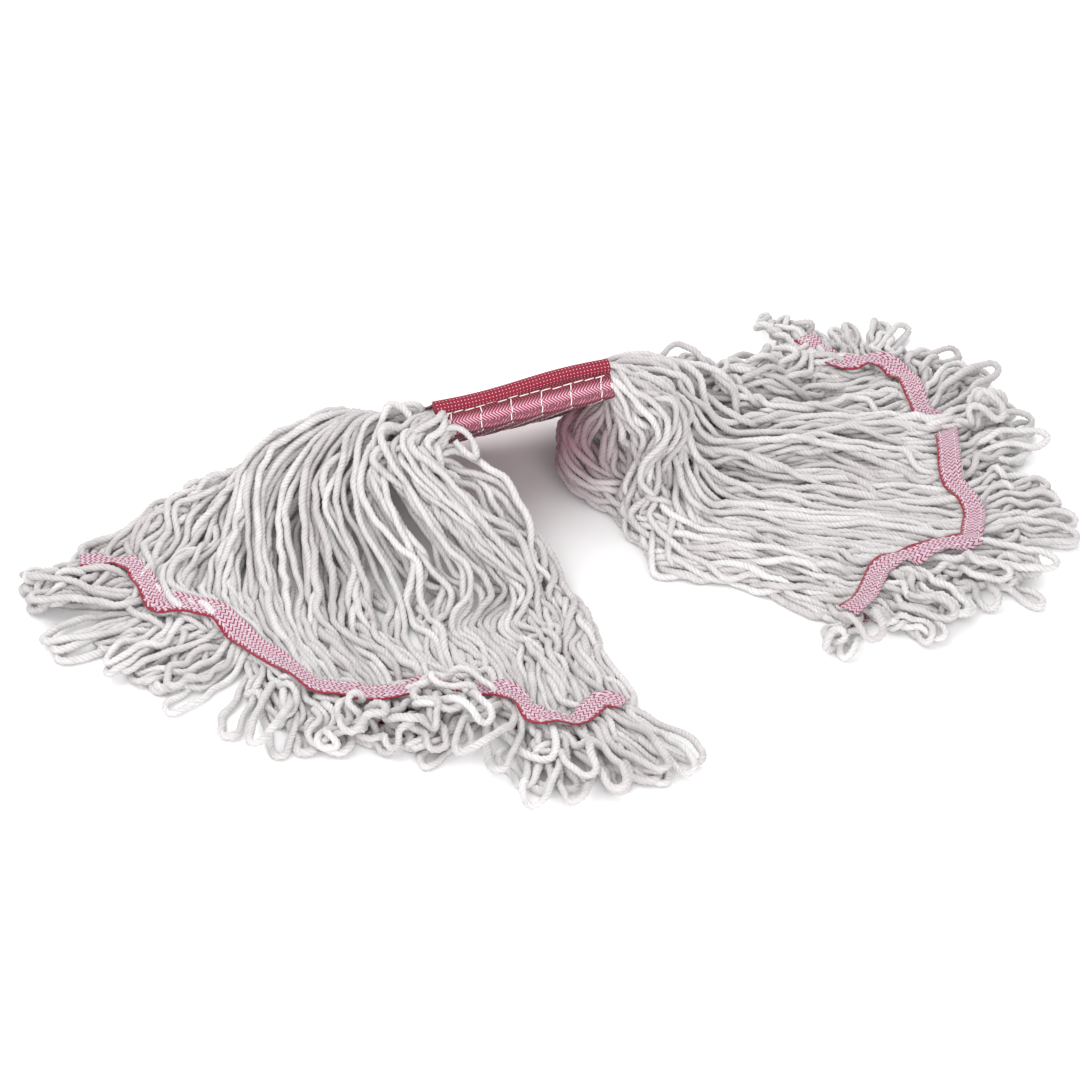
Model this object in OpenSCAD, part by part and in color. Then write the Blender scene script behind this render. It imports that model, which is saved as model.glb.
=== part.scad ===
// String mop head: looped cotton yarn through a sewn red headband, laid down with
// its two tails spread into fans, each tail tied near the loops by a narrow tape.
// Millimetres, +Z up, origin on the floor under the middle of the whole head.
// The yarn runs along the headband's own X, its width lies along Y, its thickness along Z.

/* [Headband] */
// Length of the headband along the yarn, the usual 5 inch size
band_len = 127; // [120:1:134]
// Thickness of the woven web that wraps the yarn
web_t = 1.2; // [0.8:0.1:1.6]
// Radius of the rolled edge on the two long upper edges
roll_r = 5; // [4:0.5:6]
// Angle that the front edge is tipped up
band_tilt = 37; // [34:1:40]
// Angle that the right end is lifted
band_pitch = 4; // [2:1:5]
// Angle that the right end is turned to the back
band_yaw = 19; // [16:1:22]

/* [Yarn] */
// Diameter of one yarn where the headband squeezes it
yarn_d = 4.2; // [3.8:0.1:4.3]
// Distance between yarns in the headband
yarn_pitch = 4.4; // [4.4:0.1:4.6]
// Yarns side by side in the headband
yarn_columns = 32; // [30:1:33]
// Layers of yarn in the headband
yarn_layers = 5; // [5:1:5]
// Locks that each fan of loose yarn is divided into
locks = 8; // [8:1:8]

/* [Tail tape] */
// Width of the tape that ties a tail
tape_w = 16; // [12:1:18]
// Thickness of the tape
tape_t = 1; // [0.6:0.1:1.2]

/* [Sewing] */
// Thickness of the sewing thread as it lies on the cloth
thread_t = 0.5; // [0.3:0.1:0.6]
// Width of the sewing thread
thread_w = 1; // [0.6:0.1:1.4]
// Rows of stitches that cross the headband
cross_rows = 6; // [4:1:6]
// Distance between those rows
cross_pitch = 21; // [18:1:22]

/* [Hidden] */

yarn_white = [0.87, 0.84, 0.79];
web_red = [0.70, 0.07, 0.11];
roll_red = [0.82, 0.08, 0.10];
tape_pink = [0.86, 0.50, 0.55];
thread_white = [0.95, 0.93, 0.92];

// the block of yarn, and the web around it with a little ease
core_w = (yarn_columns - 1) * yarn_pitch + yarn_d;
core_h = (yarn_layers - 1) * yarn_pitch + yarn_d;
core_end = 1;
ease = 0.4;
inner_w = core_w + ease;
inner_h = core_h + ease;
band_w = inner_w + 2 * web_t;
band_t = inner_h + 2 * web_t;

// the headband's own axes and its middle, in the frame of the whole head
band_centre = [-31, 88, 58.5];
band_x = [cos(band_pitch) * cos(band_yaw), cos(band_pitch) * sin(band_yaw), sin(band_pitch)];
band_y = [
    sin(band_tilt) * sin(band_pitch) * cos(band_yaw) - cos(band_tilt) * sin(band_yaw),
    sin(band_tilt) * sin(band_pitch) * sin(band_yaw) + cos(band_tilt) * cos(band_yaw),
    -sin(band_tilt) * cos(band_pitch)
];
band_z = cross(band_x, band_y);
function on_band(p) = band_centre + p.x * band_x + p.y * band_y + p.z * band_z;

// the yarn leaves room to swing at the band's ends: little at the middle, more at the edges
root_gap = 3;
root_flare = 5.5;
root_straight = 22;
function root_row(side, run) = [
    for (k = [0:4])
        on_band([
            side * (band_len / 2 + root_gap + root_flare * abs(k - 2) + run),
            core_w * (0.5 - k / 4),
            0
        ])
];

// Each fan is a sheet of yarn drawn through rows of five points, from its rear edge to its
// front edge. Each row is one step along the yarn: shoulder, fall, floor, before the tape,
// the tape, and the loops.
left_rows = [
    root_row(-1, 0),
    root_row(-1, root_straight),
    [[-154, 107, 16], [-146, 79, 38], [-138, 51, 61], [-127, 21, 80], [-102, -20, 88]],
    [[-210, 78, 15], [-205, 46, 28], [-183, 6, 41], [-128, -36, 47], [-22, -48, 50]],
    [[-267, 28, 12], [-243, -9, 12], [-187, -76, 12], [-97, -104, 12], [4, -78, 12]],
    [[-297, -12, 10], [-245, -59, 10], [-170, -132, 10], [-67, -149, 10], [36, -132, 10]],
    [[-318, -46, 7], [-233, -100, 7], [-149, -182, 7], [-45, -184, 7], [45, -199, 7]],
    [[-361, -74, 7], [-301, -158, 7], [-196, -240, 7], [-52, -274, 7], [66, -246, 7]]
];
right_rows = [
    root_row(1, 0),
    root_row(1, root_straight),
    [[59, 180, 20], [70, 152, 45], [79, 116, 70], [87, 81, 89], [86, 44, 98]],
    [[110, 198, 15], [120, 161, 34], [127, 116, 46], [115, 54, 52], [86, 8, 52]],
    [[147, 216, 12], [173, 171, 12], [181, 104, 12], [155, 28, 12], [94, -28, 12]],
    [[175, 228, 10], [225, 184, 10], [243, 98, 10], [217, 1, 10], [145, -51, 10]],
    [[196, 241, 7], [263, 201, 7], [293, 96, 7], [285, -24, 7], [202, -91, 7]],
    [[234, 279, 7], [328, 243, 7], [353, 122, 7], [354, -16, 7], [246, -128, 7]]
];
tape_row = 6;
loop_row = 7;

// thickness of the fan at each row, once the rows at the tape are split in two
tape_zone = 22;
tape_gap = 0.5;
lower_tape_z = 0.1;
pile_at_tape = 11.5;
pile_low = lower_tape_z + tape_t + 0.4;
pile_top = pile_low + pile_at_tape;
loop_end = 11;
loop_tip_z = 5;
pile = [24, 26, 30, 28, 24, 20, pile_at_tape, pile_at_tape, 14, 9];
rise = [0, 0, 0.5, 1, 1, 1, 1, 1, 1, 1];
narrow = [0, 0, 0, 0, 0, 0, 0, 0, 0, 0.12];

// a smooth curve through the points p, where t counts the points from 0
function curve(p, t) =
    let (last = len(p) - 1, i = min(floor(t), last - 1), f = t - i)
    let (a = p[max(i - 1, 0)], b = p[i], c = p[i + 1], d = p[min(i + 2, last)])
    b + 0.5 * f * (c - a + f * (2 * a - 5 * b + 4 * c - d + f * (3 * b - a - 3 * c + d)));
function unit(v) = v / norm(v);
function step_to(a, b, d) = a + unit(b - a) * d;
function at_height(p, z) = [p.x, p.y, z];

// the rows along one line of yarn, u = 0 at the rear edge to 1 at the front edge
function line_of(rows, u) =
    let (
        p = [for (r = rows) curve(r, u * 4)],
        tape = at_height(p[tape_row], pile_low + pile_at_tape / 2)
    )
    [
        for (k = [0:tape_row - 1]) p[k],
        step_to(tape, at_height(p[tape_row - 1], tape.z), tape_zone),
        step_to(tape, at_height(p[loop_row], tape.z), tape_zone),
        p[loop_row],
        at_height(step_to(p[loop_row], p[tape_row], -loop_end), loop_tip_z)
    ];

// one ring of a lock, as shares of its width and of its thickness
ring = [[0.06, 0], [0.94, 0], [1, 0.2], [1, 0.8], [0.94, 1], [0.06, 1], [0, 0.8], [0, 0.2]];
ring_n = len(ring);
ring_step = 0.5;
lock_gap = 0.006;
function on_floor(p) = [p.x, p.y, max(p.z, 0)];
function lock_ring(first, last, v) =
    let (
        a = curve(first, v),
        b = curve(last, v),
        n = unit(band_z * (1 - curve(rise, v)) + [0, 0, curve(rise, v)]) * curve(pile, v),
        w = curve(narrow, v)
    )
    [for (q = ring) on_floor(a + (b - a) * (w + (1 - 2 * w) * q[0]) + n * (q[1] - 0.5))];

// one lock of a fan, side = -1 left, 1 right
module lock(rows, i, side) {
    first = line_of(rows, (i - 1) / locks + lock_gap);
    last = line_of(rows, i / locks - lock_gap);
    rings = [for (v = [0:ring_step:len(first) - 1]) lock_ring(first, last, v)];
    points = [for (r = rings) each r];
    end = (len(rings) - 1) * ring_n;
    // each quad is cut the same way on both sides of a lock, so that neighbours stay apart
    sides = [
        for (r = [0:len(rings) - 2], k = [0:ring_n - 1])
            let (a = r * ring_n + k, b = r * ring_n + (k + 1) % ring_n)
            each k < ring_n / 2
                ? [[a, b, b + ring_n], [a, b + ring_n, a + ring_n]]
                : [[a, b, a + ring_n], [b, b + ring_n, a + ring_n]]
    ];
    near_cap = [for (k = [1:ring_n - 2]) [0, k + 1, k]];
    far_cap = [for (k = [1:ring_n - 2]) [end, end + k, end + k + 1]];
    faces = concat(sides, near_cap, far_cap);
    // the rings of the left fan turn the other way round, so its faces are turned to point out
    color(yarn_white)
        polyhedron(points, side > 0 ? faces : [for (f = faces) [f[2], f[1], f[0]]]);
}

// tape: a flat ribbon along a row
tape_steps = 40;
function tape_point(rows, u) = curve(rows[tape_row], u * 4);
function tape_side(rows, u) =
    let (d = unit(tape_point(rows, min(u + 0.01, 1)) - tape_point(rows, max(u - 0.01, 0))))
    [-d.y, d.x];
module tape(rows, z) {
    edge = [
        for (s = [0:tape_steps])
            let (u = s / tape_steps, p = tape_point(rows, u))
            [p.x, p.y] + tape_side(rows, u) * tape_w / 2
    ];
    other = [
        for (s = [tape_steps:-1:0])
            let (u = s / tape_steps, p = tape_point(rows, u))
            [p.x, p.y] - tape_side(rows, u) * tape_w / 2
    ];
    color(tape_pink)
        translate([0, 0, z])
            linear_extrude(tape_t)
                polygon(concat(edge, other));
}

// two rows of stitches along the upper tape
upper_tape_z = pile_top + tape_gap;
tape_stitch = 6;
tape_stitches = 36;
tape_seam = 0.3;
module tape_stitching(rows) {
    color(thread_white)
        for (s = [0:tape_stitches - 1], side = [-1, 1]) {
            u = (s + 0.5) / tape_stitches;
            p = tape_point(rows, u);
            n = tape_side(rows, u);
            at = [p.x, p.y] + n * side * tape_seam * tape_w;
            translate([at.x, at.y, upper_tape_z + tape_t])
                rotate(atan2(-n.x, n.y))
                    translate([-tape_stitch / 2, -thread_w / 2, 0])
                        cube([tape_stitch, thread_w, thread_t]);
        }
}

// headband, drawn in its own frame
module band_place() {
    translate(band_centre)
        rotate([-band_tilt, -band_pitch, band_yaw])
            children();
}

module core_yarn_layer(i) {
    z = (i - (yarn_layers + 1) / 2) * yarn_pitch;
    color(yarn_white)
        band_place()
            for (k = [0:yarn_columns - 1])
                translate([-band_len / 2 - core_end, (k - (yarn_columns - 1) / 2) * yarn_pitch, z])
                    rotate([0, 90, 0])
                        cylinder(d = yarn_d, h = band_len + 2 * core_end, $fn = 24);
}

module headband_lower_web() {
    color(web_red)
        band_place()
            difference() {
                translate([-band_len / 2, -band_w / 2, -band_t / 2])
                    cube([band_len, band_w, web_t + inner_h]);
                translate([-band_len / 2 - 1, -inner_w / 2, -inner_h / 2])
                    cube([band_len + 2, inner_w, inner_h + 1]);
            }
}

module headband_upper_web() {
    color(web_red)
        band_place()
            translate([-band_len / 2, -band_w / 2, inner_h / 2])
                cube([band_len, band_w, web_t]);
}

// a rolled edge sits over an upper corner of the band, side = -1 front, 1 rear
roll_drop = 2.5;
module edge_roll(side) {
    color(roll_red)
        band_place()
            difference() {
                translate([-band_len / 2, side * band_w / 2, band_t / 2 - roll_drop])
                    rotate([0, 90, 0])
                        cylinder(r = roll_r, h = band_len, $fn = 48);
                translate([-band_len / 2 - 1, -band_w / 2, -band_t / 2])
                    cube([band_len + 2, band_w, band_t]);
            }
}

// stitch rows that cross the band: over the top, under the bottom and down both edges
stitch_len = 9;
stitch_pitch = 15;
top_stitches = 9;
side_stitch = 6;
side_stitch_low = 2;
module cross_stitching() {
    color(thread_white)
        band_place()
            for (r = [0:cross_rows - 1]) {
                x = (r - (cross_rows - 1) / 2) * cross_pitch - thread_w / 2;
                for (s = [0:top_stitches - 1], z = [-band_t / 2 - thread_t, band_t / 2])
                    translate([x, (s - (top_stitches - 1) / 2) * stitch_pitch - stitch_len / 2, z])
                        cube([thread_w, stitch_len, thread_t]);
                for (y = [-band_w / 2 - thread_t, band_w / 2])
                    translate([x, y, -band_t / 2 + side_stitch_low])
                        cube([thread_w, thread_t, side_stitch]);
            }
}

// seams along both rolled edges, on the side below the roll and on the top inside it
seam_len = 5;
seam_pitch = 8;
seam_count = 15;
seam_off = 1.2;
module edge_stitching() {
    seam_z = band_t / 2 - roll_drop - roll_r - seam_off;
    color(thread_white)
        band_place()
            for (s = [0:seam_count - 1], side = [-1, 1]) {
                x = (s - (seam_count - 1) / 2) * seam_pitch - seam_len / 2;
                translate([x, side * (band_w + thread_t) / 2 - thread_t / 2, seam_z - thread_w / 2])
                    cube([seam_len, thread_t, thread_w]);
            }
}

headband_upper_web();
headband_lower_web();
edge_roll(-1);  // front_edge_roll
edge_roll(1);  // rear_edge_roll
cross_stitching();
edge_stitching();
for (i = [1:yarn_layers])
    core_yarn_layer(i);
for (i = [1:locks]) {
    lock(left_rows, i, -1);
    lock(right_rows, i, 1);
}
tape(left_rows, upper_tape_z);  // left_tail_tape_upper
tape(left_rows, lower_tape_z);  // left_tail_tape_lower
tape_stitching(left_rows);  // left_tail_stitching
tape(right_rows, upper_tape_z);  // right_tail_tape_upper
tape(right_rows, lower_tape_z);  // right_tail_tape_lower
tape_stitching(right_rows);  // right_tail_stitching
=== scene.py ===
# String mop head, laid on the floor: looped cotton yarn through a red sewn headband, each tail
# spread into a fan and tied near its loops by a narrow woven tape. Metres, in the CAD part's frame.
import math

import bmesh
import bpy
import numpy as np
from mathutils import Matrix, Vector


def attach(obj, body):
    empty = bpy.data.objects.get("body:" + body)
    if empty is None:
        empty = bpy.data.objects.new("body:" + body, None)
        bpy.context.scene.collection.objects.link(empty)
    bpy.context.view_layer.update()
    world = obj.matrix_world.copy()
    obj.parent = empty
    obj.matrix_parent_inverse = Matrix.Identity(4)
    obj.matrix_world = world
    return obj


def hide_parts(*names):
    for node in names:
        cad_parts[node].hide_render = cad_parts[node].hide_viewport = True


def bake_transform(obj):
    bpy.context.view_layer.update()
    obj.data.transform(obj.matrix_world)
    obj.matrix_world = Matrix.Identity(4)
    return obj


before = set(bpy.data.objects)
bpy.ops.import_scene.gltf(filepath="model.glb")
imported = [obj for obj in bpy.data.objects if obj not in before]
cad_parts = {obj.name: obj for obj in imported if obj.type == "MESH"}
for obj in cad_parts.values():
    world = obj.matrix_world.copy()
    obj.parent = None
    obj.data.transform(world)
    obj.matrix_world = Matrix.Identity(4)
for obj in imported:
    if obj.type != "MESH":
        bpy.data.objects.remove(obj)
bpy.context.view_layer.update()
scene = bpy.context.scene

# Camera: a long lens from the front, looking down on the mop at 35 degrees. The mop fills the
# picture from side to side, with room above and below.
CAMERA_TARGET = np.array([-0.005, -0.034, 0.030])
CAMERA_DISTANCE = 2.3
CAMERA_TILT = math.radians(35)
camera = bpy.data.cameras.new("camera")
camera.lens = 111.2
camera.sensor_width = 36
camera_object = bpy.data.objects.new("camera", camera)
camera_object.location = Vector(
    CAMERA_TARGET + CAMERA_DISTANCE * np.array([0, -math.cos(CAMERA_TILT), math.sin(CAMERA_TILT)])
)
camera_object.rotation_euler = (math.pi / 2 - CAMERA_TILT, 0, 0)
scene.collection.objects.link(camera_object)
scene.camera = camera_object

# Cotton yarn: 160 lengths of soft twisted four-ply yarn pass through the headband in five layers.
# Each tail is a fan of yarn that falls to the floor, is tied by the tape, and ends in 80 loops.
YARN_RADIUS = 0.0025
YARN_COLUMNS = 32
YARN_LAYERS = 5
YARN_PITCH = 0.0044
YARN_TO_TAPE = 0.352
LOOP_REACH = 0.086

BAND_LENGTH = 0.127
BAND_CENTRE = np.array([-0.031, 0.088, 0.0585])
BAND_TILT, BAND_PITCH, BAND_YAW = (math.radians(a) for a in (37, 4, 19))
BAND_X = np.array(
    [
        math.cos(BAND_PITCH) * math.cos(BAND_YAW),
        math.cos(BAND_PITCH) * math.sin(BAND_YAW),
        math.sin(BAND_PITCH),
    ]
)
BAND_Y = np.array(
    [
        math.sin(BAND_TILT) * math.sin(BAND_PITCH) * math.cos(BAND_YAW)
        - math.cos(BAND_TILT) * math.sin(BAND_YAW),
        math.sin(BAND_TILT) * math.sin(BAND_PITCH) * math.sin(BAND_YAW)
        + math.cos(BAND_TILT) * math.cos(BAND_YAW),
        -math.sin(BAND_TILT) * math.cos(BAND_PITCH),
    ]
)
BAND_Z = np.cross(BAND_X, BAND_Y)


def on_band(x, y, z):
    """Points given along the headband's own axes, in the mop's frame."""
    x, y, z = (np.asarray(v, float)[..., None] for v in (x, y, z))
    return BAND_CENTRE + x * BAND_X + y * BAND_Y + z * BAND_Z


def curve_through(points, t):
    """A smooth curve through points, where t counts the points from 0."""
    points = np.asarray(points, float)
    last = len(points) - 1
    i = np.minimum(np.floor(t).astype(int), last - 1)
    f = (t - i)[:, None]
    a, b = points[np.maximum(i - 1, 0)], points[i]
    c, d = points[i + 1], points[np.minimum(i + 2, last)]
    return b + 0.5 * f * (c - a + f * (2 * a - 5 * b + 4 * c - d + f * (3 * b - a - 3 * c + d)))


def evenly(line, count):
    """The line again, with count points an equal distance apart."""
    along = np.concatenate([[0], np.cumsum(np.linalg.norm(np.diff(line, axis=0), axis=1))])
    at = np.linspace(0, along[-1], count)
    return np.stack([np.interp(at, along, line[:, k]) for k in range(line.shape[1])], axis=1)


# Each fan is a sheet of yarn drawn through rows of points in millimetres, from its rear edge to
# its front edge: shoulder, fall, floor, before the tape. Then come the tape and the loops' ends.
# A bend is a place across the fan and its width, a place along it and its length, and a move.
# "frontward" below 1 draws the upper rows to the front edge, "under" is where the lower layers
# bunch up, and "over_tape" is the share of the fan that lies over the tape.
FANS = {
    "left": {
        "side": -1,
        "frontward": 1.0,
        "rows": [
            [[-150, 100, 20], [-155, 80, 50], [-146, 54, 82], [-116, 20, 98], [-70, -12, 99]],
            [[-210, 75, 16], [-208, 50, 46], [-186, 8, 56], [-118, -36, 56], [-10, -46, 60]],
            [[-262, 30, 14], [-246, 4, 26], [-190, -66, 20], [-92, -98, 18], [8, -72, 14]],
            [[-300, -8, 12], [-258, -50, 14], [-175, -128, 12], [-70, -147, 12], [36, -132, 10]],
        ],
        "tape": [
            [-322, -44], [-304, -42], [-287, -44], [-264, -90], [-224, -102], [-191, -141],
            [-149, -185], [-109, -196], [-64, -178], [-25, -185], [-4, -220], [21, -212],
            [36, -190], [52, -198],
        ],
        "ends": [
            [-368, -62], [-357, -100], [-335, -139], [-296, -167], [-261, -188], [-224, -235],
            [-177, -256], [-128, -238], [-101, -261], [-75, -260], [-34, -281], [-4, -292],
            [14, -296], [32, -274],
        ],
        "bends": [
            [1.00, 0.12, 0.10, 0.04, [10, -6, 0]],
            [0.98, 0.03, 0.42, 0.07, [10, 8, 4]],
            [0.45, 0.12, 0.50, 0.12, [-14, 10, 8]],
            [0.20, 0.10, 0.70, 0.12, [14, 14, 10]],
            [0.85, 0.06, 0.62, 0.08, [12, 10, 8]],
        ],
        "over_tape": [0.60, 0.67],
    },
    "right": {
        "side": 1,
        "frontward": 0.72,
        "rows": [
            [[58, 162, 34], [70, 138, 58], [74, 106, 82], [78, 74, 98], [76, 50, 104]],
            [[106, 168, 36], [116, 140, 50], [112, 88, 54], [94, 46, 46], [72, 28, 44]],
            [[150, 196, 34], [170, 160, 34], [164, 82, 22], [124, 8, 12], [77, -18, 10]],
            [[180, 225, 22], [222, 184, 20], [243, 98, 14], [217, 1, 12], [138, -49, 8]],
        ],
        "tape": [
            [194, 248], [220, 209], [252, 224], [269, 202], [279, 154], [293, 147],
            [289, 68], [303, 30], [294, -20], [244, -32], [229, -44], [216, -79], [202, -95],
        ],
        "ends": [
            [190, 288], [238, 290], [285, 290], [330, 262], [348, 215], [369, 156],
            [350, 120], [367, 57], [371, 0], [343, -77], [309, -80], [272, -130], [236, -120],
        ],
        "bends": [
            [0.36, 0.09, 0.46, 0.09, [6, 34, 14]],
            [0.46, 0.05, 0.50, 0.08, [-6, -18, 10]],
            [0.20, 0.06, 0.60, 0.09, [4, -16, 6]],
            [0.74, 0.09, 0.44, 0.05, [2, 18, 14]],
            [0.74, 0.09, 0.57, 0.05, [2, -20, 12]],
            [0.74, 0.09, 0.70, 0.05, [-2, 16, 8]],
            [0.90, 0.06, 0.60, 0.06, [-6, 14, 8]],
        ],
        "under": [[6, 88, 40], [50, 42, 14]],
        "over_tape": [0.36, 0.40],
    },
}


def wander(random, count, waves, scale):
    """Slow smooth noise along a strand: count by 3 values of about scale, with that many waves."""
    knots = random.normal(0, scale, (int(waves) + 4, 3))
    return curve_through(knots, np.linspace(0, len(knots) - 1, count))


def fan_waves(random, size, rows, scale):
    """Noise over a whole fan, the same for neighbours: a grid across the fan and along it."""
    return random.normal(0, scale, (size, rows, 3))


def grid_at(grid, u, v):
    """Smooth values of a grid at shares u across and v along it."""
    across = curve_through(
        grid.reshape(len(grid), -1), np.full(1, u * (len(grid) - 1))
    ).reshape(grid.shape[1:])
    return curve_through(across, v * (len(across) - 1))


HANK_TURN = 2 * math.pi * 10
HANK_PULL = 0.88


def gathered(share):
    """Where a strand lies in the middle of the fan, which falls into ten loose hanks."""
    return share - HANK_PULL * math.sin(HANK_TURN * share + 0.6) / HANK_TURN


LAY_STEPS = 121
TAPE_STEPS = 200
BROAD_WAVE = 0.009
NARROW_WAVE = 0.0055
STRAND_WAVE = 0.0048
LOWEST_LAYER = [0.72, 0.45, 0.40, 0.45]
TIED_STEP = 0.0042
OVER_TAPE = 0.0085
UNDER_CENTRE = 0.60
UNDER_SPREAD = np.array([22, -26, -16])
UNDER_SHARES = (1.0, 1.0, 0.6)


def lay_out(fan, random):
    """Where a fan's strands start: a line of points for each, from the headband to the tape."""
    side = fan["side"]
    strands = YARN_COLUMNS * YARN_LAYERS
    column = np.arange(strands) // YARN_LAYERS
    layer = np.concatenate([random.permutation(YARN_LAYERS) for _ in range(YARN_COLUMNS)])
    broad = fan_waves(random, 8, 8, BROAD_WAVE)
    narrow = fan_waves(random, 30, 14, NARROW_WAVE)
    rows = np.array(fan["rows"]) * 0.001
    tape = evenly(np.column_stack([fan["tape"], np.zeros(len(fan["tape"]))]) * 0.001, TAPE_STEPS)
    ends = np.array(fan["ends"]) * 0.001
    heights = np.clip(layer / (YARN_LAYERS - 1) + random.normal(0, 0.3, strands), 0, 1.15)
    lines, tied = [], []
    for s in range(strands):
        u = column[s] / (YARN_COLUMNS - 1)
        s_tape = (s + 0.5) / strands
        y = (YARN_COLUMNS / 2 - 0.5 - column[s]) * YARN_PITCH
        z = (layer[s] - 2) * YARN_PITCH
        start = on_band(side * (BAND_LENGTH / 2 + np.array([-0.010, 0.006])), y, z)
        path = [start[0], start[1]]
        for k, row in enumerate(rows):
            share = (k + 1) / (len(rows) + 1)
            where = u ** fan["frontward"] if k < 2 else u
            where += (s_tape - where) * share
            if k:
                where = np.clip(gathered(where), 0, 1)
            point = curve_through(row, np.array([where * 4]))[0]
            point[2] *= LOWEST_LAYER[k] + (1 - LOWEST_LAYER[k]) * heights[s]
            if "under" in fan and k < 2 and layer[s] < len(UNDER_SHARES):
                pull = math.exp(-(((u - 0.62) / 0.30) ** 4)) * UNDER_SHARES[layer[s]]
                spread = UNDER_SPREAD * (u - UNDER_CENTRE) + random.normal(0, 2.5, 3)
                point += (np.array(fan["under"][k]) + spread) * 0.001 * pull - point * pull
            path.append(point)
        at = tape[int(s_tape * (TAPE_STEPS - 1))]
        over = fan["over_tape"][0] < s_tape < fan["over_tape"][1]
        tied.append([at[0], at[1], TIED_STEP + TIED_STEP * (s % 2) + OVER_TAPE * over])
        path.append(tied[-1])
        v = np.linspace(0, 1, LAY_STEPS)
        line = curve_through(path, v * (len(path) - 1))
        # A bend fades out at the headband, and the waves at the headband and at the tape.
        for across, wide, along, long, move in fan["bends"]:
            near = np.exp(-(((s_tape - across) / wide) ** 2) - ((v - along) / long) ** 2)
            near *= np.clip((v - 0.045) / 0.03, 0, 1) * (0.6 + 0.1 * layer[s])
            line += near[:, None] * np.array(move) * 0.001
        hold = np.clip(np.minimum(v / 0.10, (1 - v) / 0.06), 0, 1)[:, None]
        wave = grid_at(broad, s_tape, v) + grid_at(narrow, s_tape, v)
        wave += wander(random, LAY_STEPS, random.integers(8, 14), STRAND_WAVE)
        wave[:, 2] *= 0.7
        grow = np.clip((v - 0.03) / 0.22, 0.2, 1)[:, None]
        lines.append((line, wave * hold * grow))
    return lines, np.array(tied), tape, ends


def length_of(line):
    """The length of a line of points."""
    return np.linalg.norm(np.diff(line, axis=0), axis=1).sum()


def stretched(line, wave, length):
    """line with as much of wave as gives it that length."""
    low, high = 0.0, 4.0
    for _ in range(18):
        mid = (low + high) / 2
        if length_of(line + wave * mid) < length:
            low = mid
        else:
            high = mid
    return line + wave * low


BEAD = 0.0045
LOOP_STEPS = 41
LOOP_CURL = 0.010
LOOP_SHAKE = 0.006
LOOP_LEAN = 0.42
LOOP_TURN = 0.30
LOOP_SHARE = 0.86
LOOP_UNEVEN = 0.16
LOOP_HEIGHT = 0.011
LOOP_OVER_TAPE = 0.010
TIP_HEIGHT = 0.006
NARROWEST_LOOP, WIDEST_LOOP = 0.003, 0.013


def loops_of(fan, random):
    """The fan's loops as lines of beads, each from the headband round its end and back."""
    lines, tied, tape, ends = lay_out(fan, random)
    count = len(lines)
    ends = curve_through(ends, np.linspace(0, len(ends) - 1, count))
    curl = fan_waves(random, 36, 8, LOOP_CURL)
    lean = wander(random, count, 16, LOOP_LEAN)[:, 0]
    reaches = wander(random, count, 22, LOOP_UNEVEN)[:, 0]
    to_tape = int(round(YARN_TO_TAPE / BEAD))
    to_end = int(round(LOOP_REACH / BEAD))
    loops, pinned = [], []
    t = np.linspace(0, 1, LOOP_STEPS)[:, None]
    for k in range(0, count, 2):
        share = (k + 1) / count
        root = (tied[k] + tied[k + 1]) / 2
        away = ends[k, :2] - root[:2]
        far = np.linalg.norm(away) * np.clip(LOOP_SHARE + reaches[k], 0.52, 1.05)
        far = min(far, LOOP_REACH * 0.95)
        turn = math.atan2(away[1], away[0]) + lean[k] + random.normal(0, LOOP_TURN)
        height = abs(random.normal(0, LOOP_HEIGHT))
        if fan["over_tape"][0] < share < fan["over_tape"][1]:
            height += LOOP_OVER_TAPE
        away = np.array([math.cos(turn), math.sin(turn)])
        across = np.array([-away[1], away[0]])
        wide = random.uniform(NARROWEST_LOOP, WIDEST_LOOP)
        wave = grid_at(curl, share, t[:, 0]) + wander(random, LOOP_STEPS, 5, LOOP_SHAKE)
        wave[:, 2] = np.abs(wave[:, 2]) * 0.7
        halves = []
        for j, turned in ((k, -1), (k + 1, 1)):
            line, shake = lines[j]
            body = evenly(stretched(line, shake, YARN_TO_TAPE), to_tape + 1)
            plan = tied[j, :2] + away * far * t + across * wide * turned * np.sin(np.pi * t) ** 0.7
            rise = tied[j, 2] + height * np.sin(np.pi * np.minimum(t / 0.7, 1) / 2)
            tip = np.array([*(root[:2] + away * far), TIP_HEIGHT + height])
            out = np.hstack([plan, rise]) * (1 - t**8) + tip * t**8
            fringe = stretched(out, wave * np.sin(np.pi * t * 0.97 + 0.03) * (0.4 + t), LOOP_REACH)
            halves.append(np.concatenate([body, evenly(fringe, to_end + 1)[1:]]))
        loops.append(np.concatenate([halves[0], halves[1][::-1][1:]]))
        back = len(loops[-1]) - 1 - to_tape
        pinned.append([to_tape - 1, to_tape, to_tape + 1, back - 1, back, back + 1])
    return np.array(loops), np.array(pinned), tape


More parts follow.
